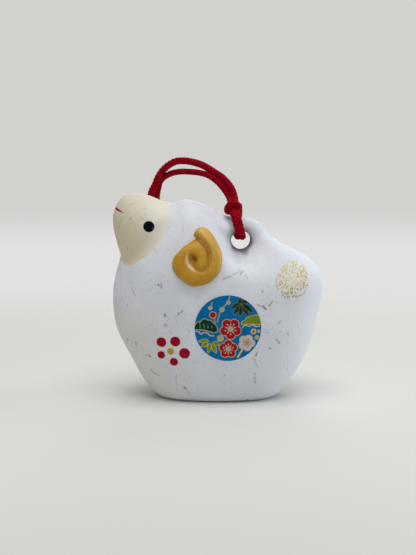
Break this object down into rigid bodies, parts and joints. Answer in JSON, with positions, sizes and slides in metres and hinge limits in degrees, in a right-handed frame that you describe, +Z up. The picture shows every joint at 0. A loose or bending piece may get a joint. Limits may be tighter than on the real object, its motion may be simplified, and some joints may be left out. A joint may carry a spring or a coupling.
{
  "type": "clay bell",
  "caption": "Hollow clay bell shaped as a resting sheep, with a loose pellet, a sound slit in its flat foot, relief horns, paper roundels and a cord loop.",
  "frame": {"origin": "middle of the clay body's box, on the plane of its flat foot", "axes": "+X from the nose to the tail, +Y from the shown side to the far side, +Z up"},
  "size_m": [0.0751, 0.0482, 0.085],
  "materials": {
    "painted_clay": "matt white paint, scuffed",
    "raw_clay": "bare fired clay",
    "gold_relief": "gold paint on clay",
    "patterned_paper": "printed blue paper with gold lines",
    "red_cord": "braided cord"
  },
  "bodies": {
    "body": {"near_shell": "painted_clay", "far_shell": "painted_clay", "near_horn": "gold_relief", "far_horn": "gold_relief", "near_roundel": "patterned_paper", "far_roundel": "patterned_paper"},
    "pellet": {"pellet": "raw_clay"},
    "cord": {"cord_hitch": "red_cord", "cord_strand_outer": "red_cord", "cord_strand_inner": "red_cord", "cord_end_knot": "red_cord"}
  },
  "joints": [
    {"name": "pellet_roll", "type": "slide", "parent": "body", "child": "pellet", "axis": [1, 0, 0], "range_m": [-0.0125, 0.0125]},
    {"name": "cord_swing", "type": "hinge", "parent": "body", "child": "cord", "pos_m": [0.00817, 0, 0.05568], "axis": [0, 1, 0], "range_deg": [0, 55]}
  ]
}
